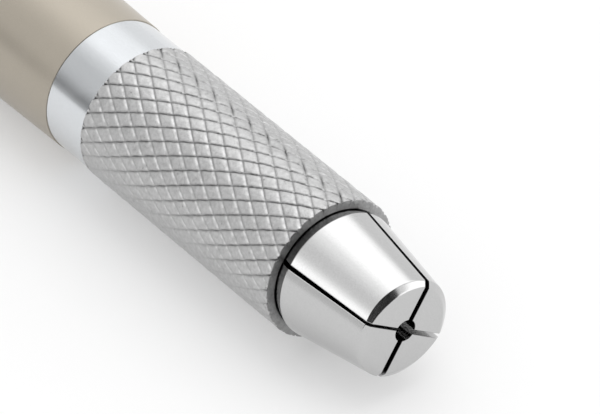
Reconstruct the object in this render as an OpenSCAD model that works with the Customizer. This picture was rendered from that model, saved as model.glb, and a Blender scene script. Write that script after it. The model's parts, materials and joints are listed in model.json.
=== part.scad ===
// Clutch pencil: a four-jaw collet holds the lead, and a spring draws it back into a knurled grip.
// Pressing the button at the back pushes the collet out of its seat, and the jaws spring open.
// The pencil lies along X with its nose towards +X, and rests on the plane z = 0.

/* [Collet] */
// Diameter of the nose face's outer edge
nose_d = 7.1; // [5.5:0.1:8.5]
// How far the head's widest edge lies inside the grip's outside
head_inset = 0.5; // [0.3:0.05:0.8]
// From the nose face back to the widest edge
head_len = 7.2; // [5:0.1:9]
// Bevel around the nose face
nose_bevel = 0.25; // [0.1:0.05:0.5]
// Bore of the closed, empty jaws
lead_bore_d = 1.6; // [1:0.1:1.9]
// Length of bore that holds the lead
hold_len = 8; // [5:0.5:10]
// Width of the slits at the nose face
slit_nose = 0.34; // [0.2:0.02:0.5]
// Width of the slits at the fingers' roots
slit_root = 0.62; // [0.4:0.02:0.8]
// Turn of the slits about the pencil's axis
slit_turn = 33; // [0:1:89]
// Room between the spring fingers and the joiner's bore
finger_room = 0.25; // [0.15:0.05:0.4]
// Wall of the spring fingers
finger_wall = 1; // [0.8:0.05:1.2]
// Radius of the round root that each finger bends about
root_r = 0.3; // [0.2:0.02:0.32]
// Width of the round root
root_w = 1.6; // [1:0.1:2]
// Length of the stem behind the fingers
stem_len = 4; // [3:0.5:5]
// How far the stem reaches back past the grip
stem_past = 1.36; // [0.5:0.02:2]

/* [Seat] */
// Half angle of the taper behind the head, and of its seat in the grip
seat_angle = 17; // [14:0.5:20]
// How far the head's widest edge stands in front of the grip
head_stand = 0.84; // [0.5:0.02:1.2]

/* [Grip] */
// How far the knurl's tops lie below the barrel's surface
grip_step = 0.15; // [0:0.05:0.5]
// Length of the knurled grip
grip_len = 20.6; // [18:0.2:26]
// Room around the fingers in the bore behind the seat
throat_room = 0.5; // [0.4:0.05:0.7]

/* [Trim ring] */
// How far the bright rings lie below the barrel's surface
ring_step = 0.25; // [0.1:0.05:0.6]
// Length of the ring behind the grip
ring_len = 4; // [3:0.1:6]
// Cord diameter of the sealing ring inside it
ring_seal_d = 0.7; // [0.5:0.05:0.8]

/* [Joiner] */
// Wall of the joiner around the guide bush
joiner_wall = 0.5; // [0.4:0.05:0.7]
// Length screwed into the grip
joiner_front_len = 6; // [4:0.5:8]
// Length screwed into the barrel
joiner_rear_len = 8; // [7:0.5:12]
// Step that the guide bush rests on
bush_step = 0.15; // [0.1:0.05:0.25]

/* [Barrel] */
// Outside diameter of the barrel
barrel_d = 10.6; // [10:0.1:12]
// Wall of the barrel
barrel_wall = 1.29; // [1:0.01:1.5]
// Length of the barrel
barrel_len = 90; // [75:1:110]

/* [Lead tube and spring] */
// Bore of the lead tube
tube_bore_d = 2.6; // [2.2:0.1:2.8]
// Length of the lead tube inside the stem
tube_seat_len = 2; // [1.5:0.1:2.5]
// Length of the guide bush
bush_len = 3; // [2:0.2:4]
// Room behind the stem
draw_gap = 1; // [0.5:0.1:1.5]
// Thickness of the washer in front of the spring
washer_t = 0.3; // [0.2:0.05:0.5]
// Wire of the return spring
wire_d = 0.5; // [0.4:0.05:0.6]
// Room between the spring and the bush's seat around it
spring_room = 0.35; // [0.25:0.05:0.45]
// Length of the spring at rest
spring_len = 20; // [16:1:26]
// Turns of the spring
spring_turns = 13; // [8:1:14]
// Room between the spring's collar and the barrel's bore
collar_room = 0.5; // [0.3:0.05:0.8]
// Length of that collar
collar_len = 2; // [1.5:0.1:3]
// Thickness of the snap ring that holds the collar
snap_t = 0.5; // [0.4:0.05:0.7]
// Depth of the snap ring's groove in the tube
snap_depth = 0.25; // [0.15:0.05:0.3]
// How far the snap ring stands out of the tube
snap_stand = 0.6; // [0.4:0.05:0.8]

/* [Back end] */
// Length of the bright collar at the barrel's back
end_len = 3.4; // [2.5:0.1:5]
// Length of its spigot inside the barrel
spigot_len = 4.5; // [3:0.5:6]
// Wall of that spigot
spigot_wall = 0.33; // [0.25:0.01:0.6]
// How far the button stands out at rest
button_out = 10; // [7:0.5:14]
// How far the button reaches in from the collar's back face
button_in = 8; // [7:0.2:10]
// Thickness of the button's end
button_end = 4; // [2.5:0.1:5]
// Radius of the button's domed end
dome_r = 9; // [6:0.5:20]
// Wall of the button around its insert
button_wall = 0.59; // [0.4:0.01:0.8]
// Wall of the insert around the lead tube
insert_wall = 0.77; // [0.7:0.01:1]
// Length of the insert
insert_len = 11; // [8:0.5:12]
// Cord diameter of the friction ring inside it
button_ring_d = 0.6; // [0.5:0.05:0.7]
// Length of the bush that guides the tube at the back
rear_bush_len = 9; // [5:0.5:12]
// Travel of the button
press_travel = 3; // [2:0.1:3.5]

/* [Fits] */
// Radial clearance of parts that slide
slide_gap = 0.03; // [0.02:0.005:0.05]
// Radial clearance of parts that are pressed or screwed together
press_gap = 0.01; // [0.005:0.005:0.02]
// Clearance of the taper in its seat, and around the button
seat_gap = 0.07; // [0.05:0.01:0.1]
// Clearance around the fingers' round roots
root_gap = 0.05; // [0.03:0.01:0.06]

/* [Hidden] */
$fn = 96;
jaw_count = 4;

// Stations along the pencil, measured back from the nose face
seat_slope = tan(seat_angle);
rim_at = head_len + head_stand;
grip_end = rim_at + grip_len;
ring_end = grip_end + ring_len;
barrel_end = ring_end + barrel_len;
end_face = barrel_end + end_len;
total_len = end_face + button_out;
stem_end = grip_end + stem_past;
root_at = stem_end - stem_len;
stem_at = root_at + root_gap;
tube_at = stem_end - tube_seat_len;
bush_at = stem_end + draw_gap;
washer_at = bush_at + bush_len;
spring_at = washer_at + washer_t;
collar_at = spring_at + spring_len;
snap_at = collar_at + collar_len;
tube_end = total_len - button_end;
button_at = end_face - button_in;
rear_bush_end = button_at - press_travel - seat_gap;
joiner_at = grip_end - joiner_front_len;
joiner_end = ring_end + joiner_rear_len;
insert_at = tube_end - insert_len;

// Radii, from the outside inwards
barrel_r = barrel_d / 2;
ring_r = barrel_r - ring_step;
grip_r = barrel_r - grip_step;
barrel_bore_r = barrel_r - barrel_wall;
joiner_r = barrel_bore_r - press_gap;
bush_r = joiner_r - joiner_wall;
joiner_bore_r = bush_r - bush_step;
finger_r = joiner_bore_r - finger_room;
finger_bore_r = finger_r - finger_wall;
finger_mid_r = finger_r - finger_wall / 2;
throat_r = finger_r + throat_room;
head_r = grip_r - head_inset;
mouth_r = head_r - head_stand * seat_slope + seat_gap;
spring_r = bush_r - spring_room - wire_d / 2;
button_r = joiner_r - spigot_wall - seat_gap;
insert_r = button_r - button_wall - press_gap;
tube_r = insert_r - insert_wall - slide_gap;
tube_bore_r = tube_bore_d / 2;
axis_z = barrel_r;

// Small shares that no other piece meets
lead_in = 0.3;
edge_break = 0.15;
relief_len = 3;
snap_opening = 60;
ring_side_gap = 0.05;
spring_rings = 12;
spring_sides = 6;

// Lays a piece that is turned about Z, nose at the origin and back end at +Z, along the pencil's axis
module on_axis() {
    translate([total_len / 2, 0, axis_z]) rotate([0, -90, 0]) children();
}

// Solid of revolution from an outline of [radius, station] points
module turned(outline) {
    rotate_extrude() polygon(outline);
}

// Straight tube between two stations
module sleeve(outer_r, inner_r, from, to) {
    difference() {
        translate([0, 0, from]) cylinder(r = outer_r, h = to - from);
        translate([0, 0, from - 1]) cylinder(r = inner_r, h = to - from + 2);
    }
}

// Tube with its outer edges broken at both ends
module trimmed_sleeve(outer_r, inner_r, from, to) {
    turned([[inner_r, from], [outer_r - edge_break, from], [outer_r, from + edge_break],
            [outer_r, to - edge_break], [outer_r - edge_break, to], [inner_r, to]]);
}

// Ring of round section
module round_ring(middle_r, section_r, at) {
    translate([0, 0, at]) rotate_extrude() translate([middle_r, 0]) circle(section_r);
}

// Collet before it is slit: head, back taper and spring fingers
module collet_blank() {
    taper_end = head_len + (head_r - finger_r) / seat_slope;
    hold_r = lead_bore_d / 2;
    turned([[hold_r, 0], [nose_d / 2 - nose_bevel, 0], [nose_d / 2, nose_bevel], [head_r, head_len],
            [finger_r, taper_end], [finger_r, root_at - root_gap], [finger_bore_r, root_at - root_gap],
            [finger_bore_r, hold_len + relief_len], [hold_r, hold_len]]);
}

// Half space beside one slit, which narrows towards the nose where the jaws are drawn together
module slit_side() {
    reach = total_len;
    lean = atan((slit_root - slit_nose) / 2 / root_at);
    translate([slit_nose / 2, 0, 0]) rotate([0, lean, 0])
        translate([0, -reach / 2, -reach]) cube([reach, reach, 2 * reach + root_at]);
}

// Round root across the finger, on the line that the jaw bends about
module finger_root(gap) {
    translate([finger_mid_r, 0, root_at]) rotate([90, 0, 0])
        cylinder(r = root_r + gap, h = root_w + 2 * gap, center = true);
}

// One jaw with its finger; number counts from the slit at slit_turn
module collet_jaw(number) {
    color([0.86, 0.87, 0.88]) on_axis() rotate([0, 0, slit_turn + (number - 1) * 360 / jaw_count]) {
        intersection() {
            collet_blank();
            slit_side();
            rotate([0, 0, 90]) slit_side();
        }
        rotate([0, 0, 180 / jaw_count]) finger_root(0);
    }
}

// Solid ring that the four fingers spring from, with a socket for the lead tube
module collet_stem() {
    color([0.80, 0.81, 0.82]) on_axis() difference() {
        sleeve(finger_r, tube_bore_r, stem_at, stem_end);
        translate([0, 0, tube_at]) cylinder(r = tube_r + press_gap, h = tube_seat_len + 1);
        for (number = [1 : jaw_count])
            rotate([0, 0, slit_turn + (number - 0.5) * 360 / jaw_count]) finger_root(root_gap);
    }
}

// Knurled grip: conical seat at its mouth, throat, and thread for the joiner
module grip_sleeve() {
    seat_end = rim_at + (mouth_r - throat_r) / seat_slope;
    color([0.74, 0.74, 0.74]) on_axis()
        turned([[mouth_r, rim_at], [grip_r, rim_at], [grip_r, grip_end], [barrel_bore_r, grip_end],
                [barrel_bore_r, joiner_at], [throat_r, joiner_at], [throat_r, seat_end]]);
}

// Bright ring between the grip and the barrel
module trim_ring() {
    color([0.88, 0.89, 0.91]) on_axis() difference() {
        sleeve(ring_r, barrel_bore_r, grip_end, ring_end);
        ring_seal_groove();
    }
}

// Groove in the trim ring for its seal
module ring_seal_groove() {
    width = ring_seal_d + 2 * ring_side_gap;
    translate([0, 0, (grip_end + ring_end - width) / 2])
        cylinder(r = joiner_r + ring_seal_d + 3 * press_gap, h = width);
}

// Rubber ring that keeps the screwed joint from working loose
module ring_seal() {
    color([0.12, 0.12, 0.12]) on_axis()
        round_ring(joiner_r + ring_seal_d / 2 + 2 * press_gap, ring_seal_d / 2, (grip_end + ring_end) / 2);
}

// Threaded joiner through the trim ring, with a seat for the guide bush
module joiner() {
    color([0.78, 0.66, 0.38]) on_axis() difference() {
        sleeve(joiner_r, joiner_bore_r, joiner_at, joiner_end);
        translate([0, 0, bush_at]) cylinder(r = bush_r + press_gap, h = joiner_end - bush_at + 1);
    }
}

// Bush that guides the lead tube and carries the spring's front end
module guide_bush() {
    color([0.80, 0.68, 0.40]) on_axis() sleeve(bush_r, tube_r + slide_gap, bush_at, washer_at);
}

// Steel washer between the bush and the spring
module spring_washer() {
    color([0.70, 0.71, 0.72]) on_axis()
        sleeve(bush_r - ring_side_gap, tube_r + 2 * slide_gap, washer_at, spring_at);
}

// Points of one ring of the spring's wire: section square to the helix, at a share of the whole length
function spring_centre(share) =
    let (turn = 360 * spring_turns * share, run = spring_len - wire_d - 2 * ring_side_gap)
    [spring_r * cos(turn), spring_r * sin(turn), spring_at + ring_side_gap + wire_d / 2 + run * share];

function spring_ring(share) =
    let (turn = 360 * spring_turns * share, centre = spring_centre(share))
    [for (side = [0 : spring_sides - 1])
        let (around = 360 * side / spring_sides)
        centre + wire_d / 2 * [cos(around) * cos(turn), cos(around) * sin(turn), sin(around)]];

// Return spring: one unbroken wire wound about the lead tube
module return_spring() {
    steps = spring_turns * spring_rings;
    points = [for (step = [0 : steps]) each spring_ring(step / steps)];
    walls = [for (step = [0 : steps - 1], side = [0 : spring_sides - 1])
        let (a = step * spring_sides + side, b = step * spring_sides + (side + 1) % spring_sides)
        each [[a, a + spring_sides, b], [b, a + spring_sides, b + spring_sides]]];
    first_cap = [for (side = [1 : spring_sides - 2]) [0, side, side + 1]];
    last = steps * spring_sides;
    last_cap = [for (side = [1 : spring_sides - 2]) [last, last + side + 1, last + side]];
    color([0.66, 0.67, 0.68]) on_axis() polyhedron(points, concat(walls, first_cap, last_cap));
    gaps = [for (step = [0 : steps - spring_rings])
        norm(spring_centre((step + spring_rings) / steps) - spring_centre(step / steps)) - wire_d];
    echo(spring_least_gap = min(gaps));
}

// Collar on the lead tube that carries the spring's back end
module spring_collar() {
    color([0.80, 0.68, 0.40]) on_axis()
        trimmed_sleeve(barrel_bore_r - collar_room, tube_r + press_gap, collar_at, snap_at);
}

// Snap ring in the tube's groove, open on one side
module snap_ring() {
    inner_r = tube_r - snap_depth + press_gap;
    color([0.55, 0.56, 0.58]) on_axis() translate([0, 0, snap_at])
        rotate_extrude(angle = 360 - snap_opening) translate([inner_r, 0])
            square([tube_r + snap_stand - inner_r, snap_t]);
}

// Lead tube from the collet to the button
module lead_tube() {
    color([0.82, 0.70, 0.42]) on_axis() difference() {
        sleeve(tube_r, tube_bore_r, tube_at, tube_end);
        sleeve(tube_r + 1, tube_r - snap_depth, snap_at - press_gap, snap_at + snap_t + press_gap);
        translate([0, 0, tube_end - lead_in])
            cylinder(r1 = tube_bore_r, r2 = tube_bore_r + lead_in, h = lead_in);
    }
}

// Barrel: plain tube with broken edges
module barrel_tube() {
    color([0.72, 0.67, 0.60]) on_axis()
        trimmed_sleeve(barrel_r, barrel_bore_r, ring_end, barrel_end);
}

// Bush that guides the tube at the back, and stops the button
module rear_bush() {
    color([0.80, 0.68, 0.40]) on_axis()
        sleeve(joiner_r, tube_r + slide_gap, rear_bush_end - rear_bush_len, rear_bush_end);
}

// Bright collar pressed into the barrel's back, around the button
module end_collar() {
    bore_r = button_r + seat_gap;
    color([0.88, 0.89, 0.91]) on_axis() {
        trimmed_sleeve(ring_r, bore_r, barrel_end, end_face);
        sleeve(joiner_r, bore_r, barrel_end - spigot_len, barrel_end + edge_break);
    }
}

// Push button: turned cap with a domed end, hollow for its insert
module push_button() {
    color([0.84, 0.85, 0.86]) on_axis() difference() {
        intersection() {
            translate([0, 0, button_at]) cylinder(r = button_r, h = total_len - button_at);
            translate([0, 0, total_len - dome_r]) union() {
                sphere(dome_r);
                translate([0, 0, -total_len]) cylinder(r = dome_r, h = total_len);
            }
        }
        translate([0, 0, button_at - 1])
            cylinder(r = insert_r + press_gap, h = tube_end + press_gap - button_at + 1);
    }
}

// Insert pressed into the button, a sliding fit on the tube
module button_insert() {
    groove_w = button_ring_d + 2 * ring_side_gap;
    groove_r = tube_r + button_ring_d + 3 * press_gap;
    color([0.80, 0.68, 0.40]) on_axis() difference() {
        sleeve(insert_r, tube_r + slide_gap, insert_at, tube_end);
        translate([0, 0, insert_at + (insert_len - groove_w) / 2]) cylinder(r = groove_r, h = groove_w);
    }
}

// Rubber ring that holds the button on the tube
module button_friction_ring() {
    wire_r = button_ring_d / 2;
    color([0.12, 0.12, 0.12]) on_axis()
        round_ring(tube_r + wire_r + 2 * press_gap, wire_r, insert_at + insert_len / 2);
}

for (number = [1 : jaw_count])
    collet_jaw(number);
collet_stem();
grip_sleeve();
trim_ring();
ring_seal();
joiner();
guide_bush();
spring_washer();
return_spring();
spring_collar();
snap_ring();
lead_tube();
barrel_tube();
rear_bush();
end_collar();
push_button();
button_insert();
button_friction_ring();
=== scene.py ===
# %% [markdown]
# # A clutch pencil with a knurled grip
# The solids of this pencil come ready made: each piece is a mesh that already lies in the right place.
# This lesson dresses them. Pieces that show get finer surfaces, worked out with numpy, and every piece
# gets a material made of nodes. The pencil lies along X with its nose towards +X.

# %% Load the pencil
import json
import math

import bmesh
import bpy
import numpy as np
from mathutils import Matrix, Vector

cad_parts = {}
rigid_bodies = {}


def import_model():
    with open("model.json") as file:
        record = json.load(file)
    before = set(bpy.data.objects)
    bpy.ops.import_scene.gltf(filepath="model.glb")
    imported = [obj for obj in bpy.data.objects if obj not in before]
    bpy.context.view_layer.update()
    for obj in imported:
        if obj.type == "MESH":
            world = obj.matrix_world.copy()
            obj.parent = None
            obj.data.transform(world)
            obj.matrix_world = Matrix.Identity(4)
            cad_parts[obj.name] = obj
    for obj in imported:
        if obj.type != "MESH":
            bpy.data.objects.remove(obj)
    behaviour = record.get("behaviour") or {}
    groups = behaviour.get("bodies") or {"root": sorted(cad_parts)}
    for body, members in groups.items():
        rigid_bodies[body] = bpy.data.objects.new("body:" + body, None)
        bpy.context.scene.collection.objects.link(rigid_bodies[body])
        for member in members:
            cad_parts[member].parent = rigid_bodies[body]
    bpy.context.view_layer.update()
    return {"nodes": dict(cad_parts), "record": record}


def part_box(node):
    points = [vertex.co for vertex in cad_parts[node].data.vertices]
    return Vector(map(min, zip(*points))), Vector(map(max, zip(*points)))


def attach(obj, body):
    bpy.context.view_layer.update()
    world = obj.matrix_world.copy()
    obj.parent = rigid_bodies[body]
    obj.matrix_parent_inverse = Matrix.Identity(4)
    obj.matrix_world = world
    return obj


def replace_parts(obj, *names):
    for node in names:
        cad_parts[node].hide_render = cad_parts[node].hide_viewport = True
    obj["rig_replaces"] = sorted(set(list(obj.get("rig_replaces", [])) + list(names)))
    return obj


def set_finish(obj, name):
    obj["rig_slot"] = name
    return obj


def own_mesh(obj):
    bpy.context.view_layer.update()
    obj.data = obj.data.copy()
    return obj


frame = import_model()
MM = 0.001
print("pieces loaded:", len(frame["nodes"]))

# %% [markdown]
# A finer surface has to sit exactly where its solid sits. Most sizes are therefore read from the boxes of
# the solids, so that they aren't typed twice. Every turned piece shares one axis, and a place along the
# pencil is told as a distance back from the nose face, as a turner would.

# %% Read the sizes
BARREL_LOW, BARREL_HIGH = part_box("barrel_tube")
GRIP_LOW, GRIP_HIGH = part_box("grip_sleeve")
RING_LOW, RING_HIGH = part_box("trim_ring")
JOINER_LOW, JOINER_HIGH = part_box("joiner")
SEAL_LOW, SEAL_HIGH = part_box("ring_seal")
END_LOW, END_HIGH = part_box("end_collar")
BUTTON_LOW, BUTTON_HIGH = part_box("push_button")
INSERT_LOW, INSERT_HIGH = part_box("button_insert")
SPRING_LOW, SPRING_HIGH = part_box("return_spring")
STEM_LOW, STEM_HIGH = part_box("collet_stem")
NOSE_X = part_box("collet_jaw_1")[1].x
AXIS_Z = BARREL_HIGH.z / 2
FULL_TURN = 2 * math.pi


def half_height(low, high):
    """Radius of a turned piece, from its box."""
    return (high.z - low.z) / 2


def station(x):
    """Distance back from the nose face of a place at x."""
    return NOSE_X - x


BARREL_R = half_height(BARREL_LOW, BARREL_HIGH)
GRIP_R = half_height(GRIP_LOW, GRIP_HIGH)
RING_R = half_height(RING_LOW, RING_HIGH)
JOINER_R = half_height(JOINER_LOW, JOINER_HIGH)
BUTTON_R = half_height(BUTTON_LOW, BUTTON_HIGH)
FINGER_R = half_height(STEM_LOW, STEM_HIGH)
PRESS_GAP = 0.01 * MM
BORE_R = JOINER_R + PRESS_GAP
RIM_AT = station(GRIP_HIGH.x)
GRIP_END = station(GRIP_LOW.x)
RING_END = station(RING_LOW.x)
BARREL_END = station(BARREL_LOW.x)
print(f"grip from {RIM_AT / MM:.2f} to {GRIP_END / MM:.2f} mm back, radius {GRIP_R / MM:.2f} mm")

# %% [markdown]
# ## Shapes from grids
# A turned piece is an outline carried once around the axis. The outline is a list of points
# (distance back, radius), and the surface is a grid: one direction runs along the outline, the other
# around the axis. A Screw modifier could do the same, but the grid also takes shapes that aren't round.
# Corners are rounded with short curves, because a real edge always catches some light.

# %% Outlines and grids
HOLD = 1.5


def on_axis(back, radius, angle):
    """Points at a distance back from the nose, a radius and an angle from straight up towards +Y."""
    back, radius, angle = np.broadcast_arrays(back, radius, angle)
    return np.stack([NOSE_X - back, radius * np.sin(angle), AXIS_Z + radius * np.cos(angle)], axis=-1)


def rounded(corners, cuts, closed=True, steps=5):
    """Outline whose corners are cut back and bridged by a quadratic curve: (1-t)^2 a + 2t(1-t) b + t^2 c.

    A further point on each side of a curve keeps the long faces next to it flat when they are shaded.
    """
    corners = np.asarray(corners, float)
    before = np.roll(corners, 1, axis=0) - corners
    after = np.roll(corners, -1, axis=0) - corners
    before /= np.linalg.norm(before, axis=1, keepdims=True)
    after /= np.linalg.norm(after, axis=1, keepdims=True)
    cut = np.asarray(cuts, float)[:, None]
    t = np.linspace(0, 1, steps)[None, :, None]
    start, middle, end = [p[:, None] for p in (corners + before * cut, corners, corners + after * cut)]
    curve = (1 - t) ** 2 * start + 2 * t * (1 - t) * middle + t**2 * end
    hold_before = (corners + before * cut * HOLD)[:, None]
    hold_after = (corners + after * cut * HOLD)[:, None]
    outline = np.concatenate([hold_before, curve, hold_after], axis=1)
    if closed:
        return outline.reshape(-1, 2)
    return np.concatenate([corners[:1], outline[1:-1].reshape(-1, 2), corners[-1:]])


def grid_faces(rows, columns, close_rows=False, close_columns=True):
    """Four-sided faces over a grid of points, numbered row by row, wrapping where asked."""
    row = np.arange(rows if close_rows else rows - 1)[:, None]
    column = np.arange(columns if close_columns else columns - 1)[None, :]
    next_row, next_column = (row + 1) % rows, (column + 1) % columns
    corners = [row * columns + column, row * columns + next_column,
               next_row * columns + next_column, next_row * columns + column]
    return np.stack([np.broadcast_to(c, (row.size, column.size)) for c in corners], axis=-1).reshape(-1, 4)


print("faces around a grid of 3 rows and 8 columns:", len(grid_faces(3, 8)))

# %% [markdown]
# A grid becomes an object in a few steps: points and faces go into a mesh, and edges sharper than a
# certain angle stay sharp when the rest is shaded smooth. Each new object then rides on a moving body and
# takes the place of one solid. Where an outline starts or ends on the axis, its ring of points falls
# together there, and is joined into one.


# %% Objects from grids
def mesh_piece(name, points, faces, body, node, slot, sharp_deg=35, poles=False):
    """Object from points and faces that rides on a body in place of a solid, with its poles joined."""
    mesh = bpy.data.meshes.new(name)
    mesh.from_pydata(np.asarray(points).reshape(-1, 3).tolist(), [], [list(map(int, f)) for f in faces])
    if poles:
        joined = bmesh.new()
        joined.from_mesh(mesh)
        bmesh.ops.remove_doubles(joined, verts=joined.verts, dist=1e-8)
        joined.to_mesh(mesh)
        joined.free()
    mesh.update()
    mesh.shade_smooth()
    mesh.set_sharp_from_angle(angle=math.radians(sharp_deg))
    piece = bpy.data.objects.new(name, mesh)
    bpy.context.scene.collection.objects.link(piece)
    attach(piece, body)
    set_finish(piece, slot)
    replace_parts(piece, node)
    print(f"{name}: {len(mesh.vertices)} points, {len(mesh.polygons)} faces")
    return piece


def turned_piece(name, outline, body, node, slot, closed=True, around=160):
    """Outline of (back, radius) points, running back on the outside, carried around the axis."""
    angle = np.linspace(0, FULL_TURN, around, endpoint=False)
    points = on_axis(outline[:, None, 0], outline[:, None, 1], angle[None, :])
    faces = grid_faces(len(outline), around, close_rows=closed)
    return mesh_piece(name, points, faces, body, node, slot, poles=not closed)


# %% [markdown]
# ## The knurled grip
# A knurl is pressed into the turning metal by two toothed wheels, one for each slant. It leaves crossed
# helical grooves and diamonds with flat tops. A bump texture would look flat along the rim, where the
# grooves run out through the edge, so the grooves are real geometry. The trick is a slanted grid: its
# columns follow one set of grooves, and the diagonals of its cells follow the other.

# %% Sizes of the knurl
KNURL_STARTS = 28
KNURL_ROWS = 21
CELLS = 12
KNURL_TURN = math.radians(7.2)
SECOND_SET_SHIFT = 4 / CELLS
DEEP_GROOVE = 0.08 * MM
FAINT_GROOVE = 0.06 * MM
STEEP, GENTLE = 0.09, 0.18
CROWN = 0.014 * MM
RIM_EDGE = 0.03 * MM
RIM_DEEPER, RIM_ROWS = 1.0, 0.4
slant = math.atan(math.pi * GRIP_R * KNURL_ROWS / KNURL_STARTS / (GRIP_END - RIM_AT))
pitch = FULL_TURN * GRIP_R / KNURL_STARTS * math.cos(slant)
print(f"knurl: {KNURL_STARTS} starts each way at {math.degrees(slant):.1f} degrees")
print(f"knurl pitch: {pitch / MM:.2f} mm")

# %% [markdown]
# No real knurl is perfect. The wheels slip, so crossing waves push the grooves about and the diamonds in
# and out by a hair. The grooves hold some dirt and a painted shade, which is faded on two sides, and a
# painted highlight runs beside the faint grooves. Noise in the material could not follow the grooves, so
# these marks are worked out with the shape, and each is strongest on one side of the grip.

# %% Painted shade, painted highlight and wear of the knurl
WOBBLE, WOBBLE_WAVES = 0.003, ((97, 13, 0), (31, -7.1, 1))
UNEVEN, UNEVEN_WAVES = 0.012 * MM, ((17, 2.9, 0), (23, -1.7, 2))
JOG = 0.003
# Painted shade, with some dirt, in the deep and the faint grooves, and the width of the darkened strip.
DEEP_DARK, FAINT_DARK, SHADE_AND_DIRT_STRIP = 0.74, 0.36, 0.13
# Painted shade at the back ends of the grooves, over the last part of a row.
END_DOTS = 0.3
# Sides where the painted shade in the grooves is faded, so that the grooves show less there.
SHADE_FADE_SIDE, SHADE_FADE, SHADE_FADE_NARROW = math.radians(-110), 0.62, 3
TOP_SIDE, TOP_SHADE_FADE, TOP_NARROW = math.radians(50), 0.8, 8
LOW_SIDE, LOW_CLEAN, LOW_NARROW = math.radians(-125), 0.9, 10
# Painted highlight beside each faint groove, strongest on one side of the grip.
PAINTED_GLINT_SIDE, PAINTED_GLINT_SHINE, PAINTED_GLINT_NARROW = math.radians(-55), 0.7, 6
PAINTED_GLINT_AT, PAINTED_GLINT_WIDE = 1 / CELLS, 1.2 / CELLS
PAINTED_GLINT_MEAN, PAINTED_GLINT_PATCHY = 0.6, 1.2
# A line of painted shade across the faint grooves, at one angle around the grip.
SHADE_LINE_SIDE, SHADE_LINE_HALF, SHADE_LINE_DARK = math.radians(15.5), math.radians(3.5), 0.75


def groove(place, before, after):
    """1 at every whole number, falling evenly to 0 over a width before it and a width after it."""
    off = place - np.round(place)
    return np.clip(1 - np.where(off < 0, -off / before, off / after), 0, 1)


def crossing_waves(lap, row, pair):
    """Product of two waves: each is the sine of crests times lap, plus lean times row, plus a start."""
    first, second = [np.sin(crests * lap + lean * row + start) for crests, lean, start in pair]
    return first * second


def patch(angle, side, narrow):
    """1 on one side of the grip, 0 on the other: half of 1 plus the cosine between, to the power narrow."""
    return ((1 + np.cos(angle - side)) / 2) ** narrow


turn_around = np.linspace(0, FULL_TURN, 360, endpoint=False)
print(f"share worn smooth: {LOW_CLEAN * patch(turn_around, LOW_SIDE, LOW_NARROW).mean():.2f}")

# %% [markdown]
# Shape and marks are worked out for the whole grid at once: row and u are numpy arrays, and each line below
# is a sum over all the points. A loop over the points would say the same, but it would be slow and longer.


# %% Work out the knurl
def knurl_grid():
    """Rows along the grip, columns around it: distance back, radius, angle, darkness and shine of points.

    The first set of grooves lies at whole values of u, and the second at whole values of u less the row,
    shifted a little. The angle is pi (2 u - row) / starts, and the distance back is the row's share of the
    grip's length. The radius is the grip's, less the depth of the groove and of a low crown, and more or
    less by the waves. Each deep groove jogs a little where a faint one crosses it. The grooves end in dots
    of painted shade at the back, where they run against the shoulder, and break out deeper through the rim
    at the front. The grooves' darkness is painted shade with some dirt. It is faded on two sides of the
    grip, and both sets are worn nearly smooth on the lower side. A painted highlight beside each faint
    groove shines on one side of the grip, and one line of crossings gets a stroke of painted shade.
    """
    row = np.arange(KNURL_ROWS * CELLS + 1)[:, None] / CELLS
    u = np.arange(KNURL_STARTS * CELLS)[None, :] / CELLS
    v = u - row - SECOND_SET_SHIFT
    lap = FULL_TURN * u / KNURL_STARTS
    wobble = WOBBLE * crossing_waves(lap, row, WOBBLE_WAVES) + JOG * np.sin(FULL_TURN * v)
    wobble[[0, -1]] = 0
    angle = KNURL_TURN + math.pi * (2 * u - row) / KNURL_STARTS + wobble

    smooth = 1 - LOW_CLEAN * patch(angle, LOW_SIDE, LOW_NARROW)
    depth = np.maximum(DEEP_GROOVE * groove(u, STEEP, STEEP), FAINT_GROOVE * groove(v, GENTLE, STEEP))
    depth *= smooth + RIM_DEEPER * np.clip(1 - row / RIM_ROWS, 0, 1)
    crown = CROWN * (2 + np.cos(FULL_TURN * u) + np.cos(FULL_TURN * v)) / 4
    uneven = UNEVEN * crossing_waves(lap, row, UNEVEN_WAVES)
    radius = GRIP_R - UNEVEN - depth - crown + uneven
    back = RIM_AT + (GRIP_END - RIM_AT) * row / KNURL_ROWS
    back[0] += RIM_EDGE

    # Share of the grooves' painted shade that is kept; it is faded on two sides of the grip.
    kept = 1 - SHADE_FADE * patch(angle, SHADE_FADE_SIDE, SHADE_FADE_NARROW)
    kept = smooth * (kept - TOP_SHADE_FADE * patch(angle, TOP_SIDE, TOP_NARROW))
    # Painted shade where the grooves end at the back.
    end = np.clip(1 - (KNURL_ROWS - row) / END_DOTS, 0, 1)
    # A stroke of painted shade on each faint groove, along one line of the grip.
    half_turn = (angle + math.pi) % FULL_TURN - math.pi
    shade_line = SHADE_LINE_DARK * np.exp(-(((half_turn - SHADE_LINE_SIDE) / SHADE_LINE_HALF) ** 2))
    # The grooves' darkness: painted shade with some dirt.
    deep_dark = (DEEP_DARK * kept + end) * groove(u, SHADE_AND_DIRT_STRIP, SHADE_AND_DIRT_STRIP)
    faint_dark = (FAINT_DARK * kept + shade_line + end) * groove(v, SHADE_AND_DIRT_STRIP, SHADE_AND_DIRT_STRIP)
    # Painted highlight beside each faint groove, on one side of the grip, patchy with the waves.
    painted_glint = PAINTED_GLINT_SHINE * patch(angle, PAINTED_GLINT_SIDE, PAINTED_GLINT_NARROW) * groove(v + PAINTED_GLINT_AT, PAINTED_GLINT_WIDE, PAINTED_GLINT_WIDE)
    painted_glint *= (1 - groove(u, SHADE_AND_DIRT_STRIP, SHADE_AND_DIRT_STRIP)) * np.clip(PAINTED_GLINT_MEAN + PAINTED_GLINT_PATCHY * uneven / UNEVEN, 0, 1)
    return back, radius, angle, np.maximum(deep_dark, faint_dark), painted_glint


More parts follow.
